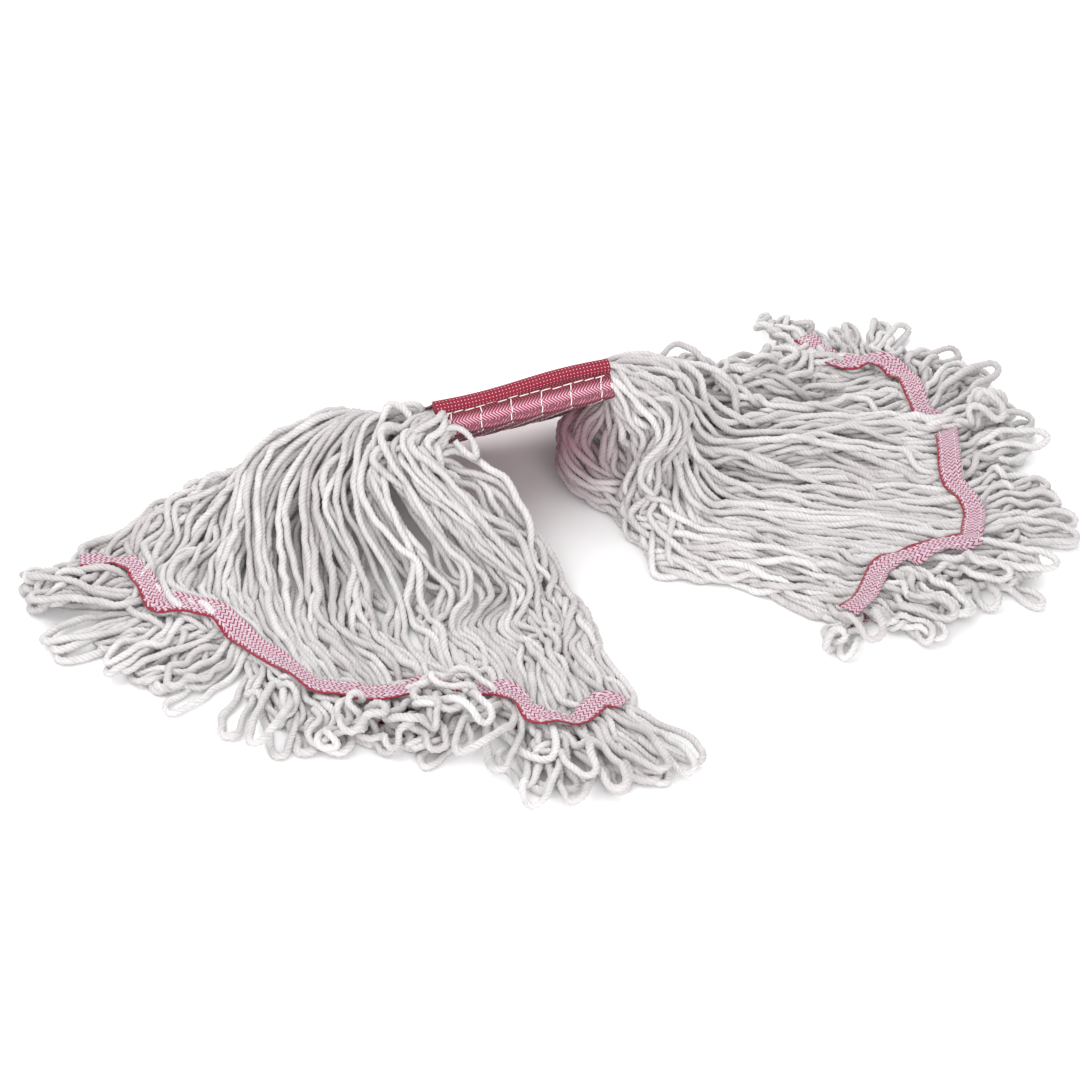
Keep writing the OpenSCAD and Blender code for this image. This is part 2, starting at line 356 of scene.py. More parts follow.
def neighbours(x, reach):
    """Pairs of points closer than reach, found by sorting them into cells of that size."""
    cell = np.floor(x / reach).astype(np.int64)
    cell -= cell.min(0) - 1
    size = cell.max(0) + 3
    key = (cell[:, 0] * size[1] + cell[:, 1]) * size[2] + cell[:, 2]
    sort = np.argsort(key, kind="stable")
    ordered = key[sort]
    first, second = [], []
    for dx in (0, 1):
        for dy in (-1, 0, 1):
            for dz in (-1, 0, 1):
                step = (dx * size[1] + dy) * size[2] + dz
                if step < 0:
                    continue
                low = np.searchsorted(ordered, ordered + step, "left")
                high = np.searchsorted(ordered, ordered + step, "right")
                if step == 0:
                    low = np.maximum(low, np.arange(len(x)) + 1)
                many = np.maximum(high - low, 0)
                i = np.repeat(np.arange(len(x)), many)
                offset = np.arange(len(i)) - np.repeat(np.cumsum(many) - many, many)
                j = low[i] + offset
                first.append(sort[i])
                second.append(sort[j])
    i, j = np.concatenate(first), np.concatenate(second)
    near = ((x[i] - x[j]) ** 2).sum(1) < reach * reach
    return i[near], j[near]


FIXED_BEADS = 4
FALL = 0.00006
MEMORY = 0.005
TOUCHING = 2 * YARN_RADIUS * 0.97
THINNEST = 0.45
LARGEST_PUSH = 0.0008
PUSH_SHARE = 0.7
TAPE_HOLD = 0.4
SEARCH_EVERY = 6
SEARCH_MARGIN = 0.0025
STIFFNESS = ((1, 1.0, 1), (2, 0.45, 1.80), (4, 0.25, 2.9))


def settle(loops, pinned, steps):
    """Lets the strands fall and push each other apart, a little at each step.

    Links over one, two and four beads keep a strand's length and keep it from folding sharply.
    """
    count, size = loops.shape[:2]
    x = loops.reshape(-1, 3).copy()
    index = np.arange(count * size).reshape(count, size)
    fixed = np.zeros((count, size), bool)
    fixed[:, :FIXED_BEADS] = True
    fixed[:, -FIXED_BEADS:] = True
    home = x.copy()
    firm = fixed.reshape(-1)
    held = index[np.arange(count)[:, None], pinned].reshape(-1)
    links = []
    place = np.arange(size)
    for gap, stiff, straight in STIFFNESS:
        rest = np.linalg.norm(loops[:, gap:] - loops[:, :-gap], axis=2)
        rest = np.full_like(rest, BEAD) if gap == 1 else np.maximum(rest, straight * BEAD)
        for k in (0, 1):
            pick = place[:-gap][place[:-gap] // gap % 2 == k]
            links.append(
                (index[:, pick].ravel(), index[:, pick + gap].ravel(), rest[:, pick].ravel(), stiff)
            )
    strand = np.repeat(np.arange(count), size)
    place = np.tile(np.arange(size), count)
    for step in range(steps):
        grown = TOUCHING * min(1.0, THINNEST + (1 - THINNEST) * step / (0.5 * steps))
        x += (home - x) * MEMORY
        x[:, 2] -= np.where(firm, 0, FALL)
        if step % SEARCH_EVERY == 0:
            i, j = neighbours(x, TOUCHING + SEARCH_MARGIN)
            keep = (strand[i] != strand[j]) | (np.abs(place[i] - place[j]) > 3)
            i, j = i[keep], j[keep]
        d = x[i] - x[j]
        far = np.sqrt((d * d).sum(1)) + 1e-9
        near = far < grown
        a, b, d, far = i[near], j[near], d[near], far[near]
        push = d * (0.5 * (grown - far) / far)[:, None]
        push = np.clip(push, -LARGEST_PUSH, LARGEST_PUSH)
        for k in range(3):
            x[:, k] += PUSH_SHARE * (
                np.bincount(a, push[:, k], len(x)) - np.bincount(b, push[:, k], len(x))
            )
        x[held] += (home[held] - x[held]) * TAPE_HOLD
        for a, b, rest, stiff in links:
            d = x[b] - x[a]
            far = np.sqrt((d * d).sum(1)) + 1e-9
            move = d * (0.5 * stiff * (far - rest) / far)[:, None]
            x[a] += move
            x[b] -= move
        x[firm] = home[firm]
        low = x[:, 2] < YARN_RADIUS
        x[low, 2] = YARN_RADIUS
    return x.reshape(count, size, 3)


CRINKLE_WAVE = 0.010
CRINKLE = 0.00056
FLOOR_GAP = YARN_RADIUS * 1.16


def finer(line, spacing, random):
    """A strand's beads drawn through with points that far apart, and a little crinkled."""
    soft = line.copy()
    for _ in range(2):
        soft[1:-1] += 0.25 * (soft[:-2] + soft[2:] - 2 * soft[1:-1])
    dense = curve_through(soft, np.linspace(0, len(soft) - 1, 6 * len(soft)))
    dense += wander(random, len(dense), length_of(line) / CRINKLE_WAVE, CRINKLE)
    dense[:, 2] = np.maximum(dense[:, 2], FLOOR_GAP)
    return evenly(dense, int(round(length_of(dense) / spacing)) + 1)


PLY_PITCH = 0.0148
PLIES = 4
RING_POINTS = 2 * PLIES
RING_SPACING = PLY_PITCH / RING_POINTS
PLY_CROWN = YARN_RADIUS * 1.06
PLY_GROOVE = YARN_RADIUS * 0.89


def ply_profile():
    """The yarn's section: four soft plies."""
    flat = bpy.data.curves.new("ply_profile", "CURVE")
    flat.dimensions = "2D"
    spline = flat.splines.new("POLY")
    spline.points.add(RING_POINTS - 1)
    for k, point in enumerate(spline.points):
        angle = 2 * math.pi * k / RING_POINTS
        radius = PLY_CROWN if k % 2 == 0 else PLY_GROOVE
        point.co = (radius * math.cos(angle), radius * math.sin(angle), 0, 1)
    spline.use_cyclic_u = True
    profile = bpy.data.objects.new("ply_profile", flat)
    scene.collection.objects.link(profile)
    return profile


# A painted shadow with red light thrown back from the headband: yarn near this point, under the
# headband's right end, is tinted a dark mauve.
RED_SHADE_CENTRE = np.array([0.012, 0.085, 0.040])
RED_SHADE_REACH = 0.046
UNEVEN_RINGS = 14
UNEVEN_TWIST = 0.16
END_RINGS = 12
MOST_SWELL = 1.6


def spin_yarn(name, lines, tones, profile, swell=0.09):
    """One mesh of twisted yarn, thicker and thinner by turns, that follows each of the lines."""
    random = np.random.default_rng(len(name) * 100 + len(lines[0]))
    curve = bpy.data.curves.new(name, "CURVE")
    curve.dimensions = "3D"
    curve.twist_mode = "MINIMUM"
    curve.bevel_mode = "OBJECT"
    curve.bevel_object = profile
    curve.use_fill_caps = True
    turn = 2 * math.pi / RING_POINTS
    for line in lines:
        spline = curve.splines.new("POLY")
        spline.points.add(len(line) - 1)
        spline.points.foreach_set("co", np.column_stack([line, np.ones(len(line))]).ravel())
        uneven = wander(random, len(line), len(line) / UNEVEN_RINGS, 1.0)
        spline.points.foreach_set("tilt", np.cumsum(turn * (1 + UNEVEN_TWIST * uneven[:, 0])))
        place = np.arange(len(line))
        loose = np.clip(np.minimum(place, place[::-1]) / END_RINGS, 0, 1)
        fat = 1 + swell * loose * (0.6 + np.clip(uneven[:, 1], -MOST_SWELL, MOST_SWELL))
        spline.points.foreach_set("radius", fat)
    drawn = bpy.data.objects.new(name, curve)
    scene.collection.objects.link(drawn)
    bpy.context.view_layer.update()
    mesh = bpy.data.meshes.new_from_object(
        drawn.evaluated_get(bpy.context.evaluated_depsgraph_get())
    )
    bpy.data.objects.remove(drawn)
    bpy.data.curves.remove(curve)
    mesh.name = name
    rings = np.concatenate([[*range(len(line)), 0, len(line) - 1] for line in lines])
    around = np.tile(np.arange(RING_POINTS), len(rings))
    along = np.repeat(rings, RING_POINTS) * RING_SPACING
    angle = around * turn
    twist = np.column_stack([np.cos(angle), np.sin(angle), along])
    mesh.attributes.new("twist", "FLOAT_VECTOR", "POINT").data.foreach_set("vector", twist.ravel())
    spots = np.empty(3 * len(mesh.vertices))
    mesh.vertices.foreach_get("co", spots)
    from_red_shade = np.linalg.norm(spots.reshape(-1, 3) - RED_SHADE_CENTRE, axis=1)
    for attribute, values in (
        ("tone", np.repeat(tones, [RING_POINTS * (len(line) + 2) for line in lines])),
        # The groove attribute marks the ring points between the plies, where the cotton paints
        # shade.
        ("painted_groove_shade", (around % 2).astype(float)),
        # The stain attribute is painted shade with red light from the headband, fading away from a
        # point under its right end.
        ("painted_red_shade", np.exp(-((from_red_shade / RED_SHADE_REACH) ** 2))),
    ):
        mesh.attributes.new(attribute, "FLOAT", "POINT").data.foreach_set("value", values)
    mesh.polygons.foreach_set("use_smooth", np.ones(len(mesh.polygons), bool))
    piece = bpy.data.objects.new(name, mesh)
    scene.collection.objects.link(piece)
    return piece


class Nodes:
    """Short ways to add shader nodes to one material."""

    def __init__(self, name, roughness, sheen):
        self.material = bpy.data.materials.new(name)
        self.material.use_nodes = True
        self.tree = self.material.node_tree
        self.shader = self.tree.nodes["Principled BSDF"]
        self.shader.inputs["Roughness"].default_value = roughness
        self.shader.inputs["Sheen Weight"].default_value = sheen

    def link(self, value, socket):
        if isinstance(value, (int, float, tuple)):
            socket.default_value = value
        else:
            self.tree.links.new(value, socket)

    def math(self, operation, *values):
        node = self.tree.nodes.new("ShaderNodeMath")
        node.operation = operation
        for value, socket in zip(values, node.inputs):
            self.link(value, socket)
        return node.outputs[0]

    def attribute(self, name):
        node = self.tree.nodes.new("ShaderNodeAttribute")
        node.attribute_name = name
        return node

    def split(self, vector):
        node = self.tree.nodes.new("ShaderNodeSeparateXYZ")
        self.link(vector, node.inputs[0])
        return node.outputs

    def noise(self, vector, scale, detail):
        node = self.tree.nodes.new("ShaderNodeTexNoise")
        self.link(vector, node.inputs["Vector"])
        node.inputs["Scale"].default_value = scale
        node.inputs["Detail"].default_value = detail
        return node.outputs["Fac"]

    def mix(self, share, a, b, blend="MIX"):
        node = self.tree.nodes.new("ShaderNodeMix")
        node.data_type = "RGBA"
        node.blend_type = blend
        self.link(share, node.inputs["Factor"])
        self.link(a, node.inputs["A"])
        self.link(b, node.inputs["B"])
        return node.outputs["Result"]

    def range(self, value, low, high, to_low=0.0, to_high=1.0):
        node = self.tree.nodes.new("ShaderNodeMapRange")
        for name, v in (
            ("Value", value), ("From Min", low), ("From Max", high),
            ("To Min", to_low), ("To Max", to_high),
        ):
            self.link(v, node.inputs[name])
        return node.outputs["Result"]

    def finish(self, colour, height, distance, strength=0.7):
        self.link(colour, self.shader.inputs["Base Color"])
        bump = self.tree.nodes.new("ShaderNodeBump")
        bump.inputs["Strength"].default_value = strength
        bump.inputs["Distance"].default_value = distance
        self.link(height, bump.inputs["Height"])
        self.link(bump.outputs["Normal"], self.shader.inputs["Normal"])
        return self.material


def cotton():
    """Soft undyed cotton: matt, with fine fibres along the twist, painted shade in the grooves
    between the plies, and painted shade tinted by red light from the headband on the yarn under its
    right end.
    """
    n = Nodes("cotton_yarn", 0.92, 0.35)
    place = n.tree.nodes.new("ShaderNodeMapping")
    place.inputs["Scale"].default_value = (3.5, 3.5, 140)
    n.link(n.attribute("twist").outputs["Vector"], place.inputs["Vector"])
    fibre = n.noise(place.outputs["Vector"], 1.0, 4)
    tone = n.attribute("tone").outputs["Fac"]
    painted_groove_shade = n.attribute("painted_groove_shade").outputs["Fac"]
    painted_red_shade = n.attribute("painted_red_shade").outputs["Fac"]
    strand = n.mix(tone, (0.58, 0.545, 0.54, 1), (0.76, 0.735, 0.735, 1))
    # Painted shade: the grooves between the plies are drawn 20% darker, together with the fibres'
    # own unevenness.
    groove_shade_and_fibre = n.math(
        "MULTIPLY", n.range(painted_groove_shade, 0.0, 1.0, 1.0, 0.80), n.range(fibre, 0.3, 0.7, 0.82, 1.08)
    )
    shade = n.mix(1.0, strand, groove_shade_and_fibre, "MULTIPLY")
    # Painted shade tinted by red light from the headband, multiplied into the yarn under the
    # headband's right end.
    red_shaded = n.mix(painted_red_shade, shade, (0.48, 0.24, 0.31, 1), "MULTIPLY")
    return n.finish(red_shaded, fibre, 0.0004, 0.6)


yarn_material = cotton()
profile = ply_profile()
DROP_STEPS = 420
LOCKS = 8
LOOPS_PER_LOCK = 10
CORDS_PER_FAN = 19
SEEDS = {"left": 7, "right": 8}

# Each fan's loops settle on the floor and are spun into yarn: each loop that reaches furthest is a
# piece of its own, and the rest of each lock is one piece, in place of the lock's CAD part.
settled_fans = {}
for fan_name, fan in FANS.items():
    random = np.random.default_rng(SEEDS[fan_name])
    loops, pinned, tape_line = loops_of(fan, random)
    settled = settle(loops, pinned, DROP_STEPS)
    settled_fans[fan_name] = settled, tape_line
    lines = [finer(loop, RING_SPACING, random) for loop in settled]
    tones = random.uniform(0.1, 1.0, len(lines))
    reach = np.linalg.norm(settled[:, :, :2] - BAND_CENTRE[:2], axis=2).max(1)
    furthest = set(np.argsort(-reach)[:CORDS_PER_FAN].tolist())
    for lock in range(LOCKS):
        # At least one loop of each lock stays in the lock's own piece.
        loops_here = range(lock * LOOPS_PER_LOCK, (lock + 1) * LOOPS_PER_LOCK)
        free_here = [k for k in loops_here if k in furthest][: LOOPS_PER_LOCK - 1]
        bundles = [[k] for k in free_here]
        bundles.append([k for k in loops_here if k not in free_here])
        for bundle in bundles:
            free = bundle[0] in free_here
            name = f"{fan_name}_loop_{bundle[0] + 1}" if free else f"{fan_name}_yarn_{lock + 1}"
            piece = spin_yarn(name, [lines[k] for k in bundle], [tones[k] for k in bundle], profile)
            piece.data.materials.append(yarn_material)
            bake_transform(piece)
            if free:
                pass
            else:
                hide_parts(f"{fan_name}_lock_{lock + 1}")


# Two stray ends: one loose yarn at the rear of the right fan, tied in a knot at its tip, and one
# short yarn that hangs in a small loop under the front corner of the headband.
def on_path(points):
    """A strand's line through points, ready for spin_yarn."""
    points = np.asarray(points, float)
    line = curve_through(points, np.linspace(0, len(points) - 1, 160))
    return evenly(line, int(round(length_of(line) / RING_SPACING)) + 1)


KNOT_RADIUS = 0.0036
KNOT_HEIGHT = 0.0022
LOOSE_POINTS = [
    [0.205, 0.232, 0.006], [0.198, 0.250, 0.018], [0.189, 0.266, 0.020],
    [0.178, 0.281, 0.014], [0.171, 0.290, 0.007],
]
loose_line = on_path(LOOSE_POINTS)
loose_end = spin_yarn("right_loose_end", [loose_line], [0.7], profile)
knot_turns = np.linspace(0, 2 * math.pi * 1.35, 40)
knot_at = loose_line[-1] + np.array([-0.003, 0.003, 0.0005])
knot_radius = KNOT_RADIUS * (1 + 0.25 * np.cos(1.5 * knot_turns))
knot_line = on_path(
    knot_at
    + np.column_stack(
        [
            knot_radius * np.cos(knot_turns),
            knot_radius * np.sin(knot_turns),
            KNOT_HEIGHT * np.sin(1.5 * knot_turns) + 0.002,
        ]
    )
)
knot = spin_yarn("right_loose_knot", [knot_line], [0.7], profile)
for piece in (loose_end, knot):
    piece.data.materials.append(yarn_material)
    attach(piece, "right_fan")

stray_line = on_path(
    on_band(
        np.array([-0.060, -0.053, -0.047, -0.044, -0.046, -0.051, -0.057]),
        np.array([-0.074, -0.076, -0.077, -0.077, -0.079, -0.080, -0.078]),
        np.array([-0.006, -0.007, -0.013, -0.023, -0.030, -0.027, -0.016]),
    )
)
stray = spin_yarn("left_stray_loop", [stray_line], [0.5], profile)
stray.data.materials.append(yarn_material)
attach(stray, "headband")


# Core yarn: the same yarn where it runs straight through the headband, in five layers. The sleeve
# hides it, except at its two open ends.
CORE_END = BAND_LENGTH / 2 - 0.008
CORE_RINGS = 40
random = np.random.default_rng(5)
for layer in range(YARN_LAYERS):
    z = (layer - (YARN_LAYERS - 1) / 2) * YARN_PITCH
    core_lines = [
        on_band(
            np.linspace(-CORE_END, CORE_END, CORE_RINGS),
            np.full(CORE_RINGS, (k - (YARN_COLUMNS - 1) / 2) * YARN_PITCH),
            np.full(CORE_RINGS, z),
        )
        for k in range(YARN_COLUMNS)
    ]
    tones = random.uniform(0.1, 1, YARN_COLUMNS)
    core = spin_yarn(f"core_yarn_{layer + 1}", core_lines, tones, profile, swell=0.02)
    core.data.materials.append(yarn_material)
    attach(core, "headband")
    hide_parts(f"core_yarn_layer_{layer + 1}")
bpy.data.objects.remove(profile)


# Headband: a sleeve of red herringbone webbing folded round the five layers of yarn, which is
# 127 mm long and open at both ends. It is stitched through in six rows, which draw it in a little.
BAND_WIDTH = 0.1434
BAND_DEPTH = 0.0246
WEB_THICKNESS = 0.0011
WEB_CORNER = 0.0035
CROSS_ROWS = 6
CROSS_PITCH = 0.022
PUFF = 0.0010
DRAWN_IN = 0.0004
ROW_REACH = 0.003
YARN_RIDGES = 0.00016
STRIPE_PITCH = 0.024
STRIPE_REACH = 0.12


def sleeve_profile(count):
    """Points an equal distance apart round the sleeve, and the way that each faces."""
    half = np.array([BAND_WIDTH / 2 - WEB_CORNER, BAND_DEPTH / 2 - WEB_CORNER])
    points = []
    for corner, (y, z) in enumerate(((-1, -1), (1, -1), (1, 1), (-1, 1))):
        for turn in np.linspace(0, math.pi / 2, 9):
            angle = math.pi + corner * math.pi / 2 + turn
            across = y * half[0] + WEB_CORNER * math.cos(angle)
            up = z * half[1] + WEB_CORNER * math.sin(angle)
            points.append([across, up])
    points.append(points[0])
    line = evenly(np.array(points), count)
    ahead = np.roll(line[:-1], -1, axis=0) - np.roll(line[:-1], 1, axis=0)
    ahead /= np.linalg.norm(ahead, axis=1)[:, None]
    facing = np.column_stack([ahead[:, 1], -ahead[:, 0]])
    return line, np.vstack([facing, facing[:1]])


def rolled_grid(long_cells, round_cells, place):
    """A sheet of cells rolled into a tube. place(x, share) gives each point and its cloth place."""
    mesh_maker = bmesh.new()
    bmesh.ops.create_grid(mesh_maker, x_segments=long_cells, y_segments=round_cells, size=0.5)
    co = np.array([v.co for v in mesh_maker.verts])
    points, cloth = place(co[:, 0], co[:, 1] + 0.5)
    layer = mesh_maker.verts.layers.float_vector.new("cloth")
    for vert, point, spot in zip(mesh_maker.verts, points, cloth):
        vert.co = point
        vert[layer] = spot
    return mesh_maker


def finished(mesh_maker, name, material):
    """Makes the bmesh an object of its own, smooth and in that material."""
    mesh = bpy.data.meshes.new(name)
    mesh_maker.to_mesh(mesh)
    mesh_maker.free()
    mesh.materials.append(material)
    mesh.polygons.foreach_set("use_smooth", np.ones(len(mesh.polygons), bool))
    piece = bpy.data.objects.new(name, mesh)
    scene.collection.objects.link(piece)
    return piece


def webbing():
    """Herringbone webbing: crimson and pale threads in slanting ribs that turn at each wale."""
    n = Nodes("herringbone_webbing", 0.85, 0.02)
    cloth = n.attribute("cloth")
    across, along, pale = n.split(cloth.outputs["Vector"])
    wale = n.math("PINGPONG", across, 0.0041)
    slant = n.math("ADD", along, wale)
    rib = n.math("PINGPONG", slant, 0.0012)
    rib = n.range(rib, 0.00055, 0.0009)
    uneven = n.noise(cloth.outputs["Vector"], 900, 2)
    light = n.math("MULTIPLY", rib, n.math("ADD", 0.10, n.math("MULTIPLY", pale, 0.85)))
    light = n.math("MULTIPLY", light, n.range(uneven, 0.3, 0.7, 0.75, 1.15))
    # The ground is darker crimson where pale threads are few; on the sleeve's sides this paints
    # shade just under the bead.
    ground_and_bead_shade = n.mix(n.math("MULTIPLY", pale, 0.7), (0.15, 0.001, 0.012, 1), (0.44, 0.06, 0.15, 1))
    colour = n.mix(light, ground_and_bead_shade, (0.86, 0.62, 0.70, 1))
    height = n.math("ADD", rib, n.math("MULTIPLY", uneven, 0.5))
    return n.finish(colour, height, 0.0004)


SLEEVE_LONG = 86
SLEEVE_ROUND = 186
MERGE_DISTANCE = 0.00002
profile_line, profile_facing = sleeve_profile(SLEEVE_ROUND + 1)
sleeve_girth = length_of(profile_line)


def sleeve_place(x, share):
    """The sleeve's cloth: puffed between the stitched rows, with faint ridges over the yarn."""
    at = np.rint(share * SLEEVE_ROUND).astype(int)
    yz, facing = profile_line[at], profile_facing[at]
    along = x * BAND_LENGTH
    row = (along / CROSS_PITCH + CROSS_ROWS / 2) % 1 - 0.5
    puff = PUFF * (1 - np.exp(-((row * CROSS_PITCH / ROW_REACH) ** 2))) - DRAWN_IN
    ribs = YARN_RIDGES * np.cos(2 * math.pi * yz[:, 0] / YARN_PITCH)
    yz = yz + facing * (puff + ribs)[:, None]
    # On the sides the pale bands lie below the middle, so the cloth just under the bead stays dark
    # crimson as painted shade; on the wide faces they are stripes across the width.
    stripe = (yz[:, 1] / BAND_DEPTH + 0.5) % 1
    wide_stripe = ((yz[:, 0] + BAND_WIDTH / 2) / STRIPE_PITCH) % 1
    on_side = np.abs(facing[:, 0]) > 0.7
    s = np.where(on_side, 1 - stripe, wide_stripe)
    pale = np.exp(-(((s - 0.66) / STRIPE_REACH) ** 2))
    pale += 0.5 * np.exp(-(((s - 0.96) / STRIPE_REACH) ** 2))
    points = on_band(along, yz[:, 0], yz[:, 1])
    return points, np.column_stack([share * sleeve_girth, along, pale])


maker = rolled_grid(SLEEVE_LONG, SLEEVE_ROUND, sleeve_place)
bmesh.ops.remove_doubles(maker, verts=maker.verts, dist=MERGE_DISTANCE)
bmesh.ops.recalc_face_normals(maker, faces=maker.faces)
web_material = webbing()
web = finished(maker, "sewn_web", web_material)
wall = web.modifiers.new("cloth", "SOLIDIFY")
wall.thickness = WEB_THICKNESS
wall.offset = -1
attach(web, "headband")
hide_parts("headband_upper_web", "headband_lower_web")


# Edge rolls: the webbing's long edges are rolled over a filler cord and covered in a coarse bright
# red weave with pale specks. One bead runs along the front of the sleeve and one along the rear.
ROLL_RADIUS = 0.0047
ROLL_DROP = 0.0025
ROLL_LONG = 236
ROLL_ROUND = 56
WEAVE = 0.0025
WEAVE_RELIEF = 0.00055
ROLL_BOW = 0.0012


def bead_weave():
    """A coarse red weave, with a pale speck on every other lump."""
    n = Nodes("coarse_red_weave", 0.7, 0.02)
    cloth = n.attribute("cloth")
    across, along, speck = n.split(cloth.outputs["Vector"])
    fibre = n.noise(cloth.outputs["Vector"], 1500, 3)
    red = n.mix(n.range(fibre, 0.3, 0.7), (0.17, 0.001, 0.014, 1), (0.31, 0.003, 0.034, 1))
    colour = n.mix(n.range(speck, 0.64, 0.86), red, (0.95, 0.74, 0.77, 1))
    return n.finish(colour, fibre, 0.0003)


def roll_place(side):
    """The place of each point of the bead on that side, for rolled_grid."""

    def place(x, share):
        angle = 2 * math.pi * share
        along = x * (BAND_LENGTH + 0.001)
        round_way = angle * ROLL_RADIUS
        turns = round(2 * math.pi * ROLL_RADIUS / WEAVE)
        a = math.pi * (along / WEAVE + angle * turns / (2 * math.pi))
        b = math.pi * (along / WEAVE - angle * turns / (2 * math.pi))
        lump = np.abs(np.sin(a) * np.sin(b))
        radius = ROLL_RADIUS + WEAVE_RELIEF * (lump - 0.5)
        bow = ROLL_BOW * np.sin(2 * math.pi * x)
        y = side * BAND_WIDTH / 2 + radius * np.cos(angle)
        z = BAND_DEPTH / 2 - ROLL_DROP + radius * np.sin(angle) + bow
        cell = (np.floor(a / math.pi) + np.floor(b / math.pi)) % 2
        speck = np.where(cell > 0.5, lump, 0.0)
        return on_band(along, y, z), np.column_stack([round_way, along, speck])

    return place


bead_material = bead_weave()
for side, end_name in ((-1, "front"), (1, "rear")):
    maker = rolled_grid(ROLL_LONG, ROLL_ROUND, roll_place(side))
    bmesh.ops.remove_doubles(maker, verts=maker.verts, dist=MERGE_DISTANCE)
    rims = [edge for edge in maker.edges if edge.is_boundary]
    bmesh.ops.holes_fill(maker, edges=rims, sides=0)
    bmesh.ops.recalc_face_normals(maker, faces=maker.faces)
    bead = finished(maker, f"{end_name}_bead", bead_material)
    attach(bead, "headband")
    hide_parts(f"{end_name}_edge_roll")


# Headband stitching: white polyester lockstitch. Six rows cross the sleeve on every side, and one
# seam runs along each side below its bead. Each stitch lies on the cloth and dips in at its ends.
THREAD_RADIUS = 0.00042
STITCH_DIP = 0.0009
STITCH_END_RISE = 0.0003
STITCH_RISE = 0.0006


def sewing_thread():
    """White polyester thread, a little uneven."""
    n = Nodes("white_thread", 0.5, 0.2)
    place = n.tree.nodes.new("ShaderNodeTexCoord").outputs["Object"]
    fibre = n.noise(place, 2600, 2)
    colour = n.mix(n.range(fibre, 0.3, 0.7), (0.72, 0.68, 0.67, 1), (0.95, 0.93, 0.92, 1))
    return n.finish(colour, fibre, 0.0001)


def sewn(name, stitches, material, radius=THREAD_RADIUS):
    """One mesh of stitches, each from one point to another with the way the cloth faces there."""
    curve = bpy.data.curves.new(name, "CURVE")
    curve.dimensions = "3D"
    curve.bevel_depth = radius
    curve.bevel_resolution = 1
    curve.use_fill_caps = True
    for start, end, out in stitches:
        start, end, out = (np.asarray(v, float) for v in (start, end, out))
        points = [
            start - out * STITCH_DIP,
            start + out * STITCH_END_RISE,
            start * 0.7 + end * 0.3 + out * STITCH_RISE,
            start * 0.3 + end * 0.7 + out * STITCH_RISE,
            end + out * STITCH_END_RISE,
            end - out * STITCH_DIP,
        ]
        spline = curve.splines.new("POLY")
        spline.points.add(len(points) - 1)
        for knot_point, point in zip(spline.points, points):
            knot_point.co = (*point, 1)
    drawn = bpy.data.objects.new(name, curve)
    scene.collection.objects.link(drawn)
    bpy.context.view_layer.update()
    mesh = bpy.data.meshes.new_from_object(
        drawn.evaluated_get(bpy.context.evaluated_depsgraph_get())
    )
    bpy.data.objects.remove(drawn)
    maker = bmesh.new()
    maker.from_mesh(mesh)
    bpy.data.meshes.remove(mesh)
    bmesh.ops.remove_doubles(maker, verts=maker.verts, dist=0.000005)
    bmesh.ops.recalc_face_normals(maker, faces=maker.faces)
    return finished(maker, name, material)


random = np.random.default_rng(3)
thread_material = sewing_thread()
ROW_STITCHES = 9
STITCH_PITCH = 0.015
HALF_STITCH = 0.0062
SIDE_STITCH = 0.0040
SIDE_PITCH = 0.0050
SIDE_LEAN = 0.22
STRAY = 0.0004
cross_stitches = []
for row in range(CROSS_ROWS):
    x = (row - (CROSS_ROWS - 1) / 2) * CROSS_PITCH
    for face in (-1, 1):
        for k in range(ROW_STITCHES):
            y = (k - ROW_STITCHES // 2) * STITCH_PITCH
            a, b = x + random.normal(0, STRAY), x + random.normal(0, STRAY)
            z = face * (BAND_DEPTH / 2 - 0.0001)
            cross_stitches.append(
                [on_band(a, y - HALF_STITCH, z), on_band(b, y + HALF_STITCH, z), BAND_Z * face]
            )
    for side in (-1, 1):
        for k in range(3):
            z = -0.0108 + k * SIDE_PITCH
            lean = SIDE_LEAN * (z + 0.003)
            y = side * (BAND_WIDTH / 2 - 0.0001)
            a, b = random.normal(0, STRAY, 2)
            cross_stitches.append(
                [
                    on_band(x + lean + a, y, z),
                    on_band(x + lean + SIDE_LEAN * SIDE_STITCH + b, y, z + SIDE_STITCH),
                    BAND_Y * side,
                ]
            )
cross = sewn("cross_stitches", cross_stitches, thread_material)
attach(cross, "headband")
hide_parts("cross_stitching")

SEAM_STITCHES = 15
SEAM_PITCH = 0.008
HALF_SEAM_STITCH = 0.0031
SEAM_BELOW_ROLL = 0.0062
seam_stitches = []
for side in (-1, 1):
    for k in range(SEAM_STITCHES):
        x = (k - SEAM_STITCHES // 2) * SEAM_PITCH
        z = BAND_DEPTH / 2 - ROLL_DROP - SEAM_BELOW_ROLL + random.normal(0, 0.0003)
        y = side * (BAND_WIDTH / 2 + 0.0003)
        seam_stitches.append(
            [
                on_band(x - HALF_SEAM_STITCH, y, z),
                on_band(x + HALF_SEAM_STITCH, y, z + 0.0003),
                BAND_Y * side,
            ]
        )
seams = sewn("edge_seams", seam_stitches, thread_material)
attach(seams, "headband")
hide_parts("edge_stitching")


# Tail tapes: one narrow woven tape above the yarn of each fan and one below, sewn through, which
# keep the tail spread. They are woven in white and pink with red chevrons, and have a dark red
# scalloped edge.
TAPE_WIDTH = 0.016
TAPE_THICKNESS = 0.0008
TAPE_CELLS = 12
TAPE_POINTS = 260
TAPE_LANES = 5
TAPE_THREAD = 0.0002
TAPE_REACH = 0.0085
HIGHEST_YARN = 0.018
BARE_FLOOR = 0.006
LOWEST_TAPE = 0.0010
BUCKLE = 0.0018
DARK_EDGE = 0.0011


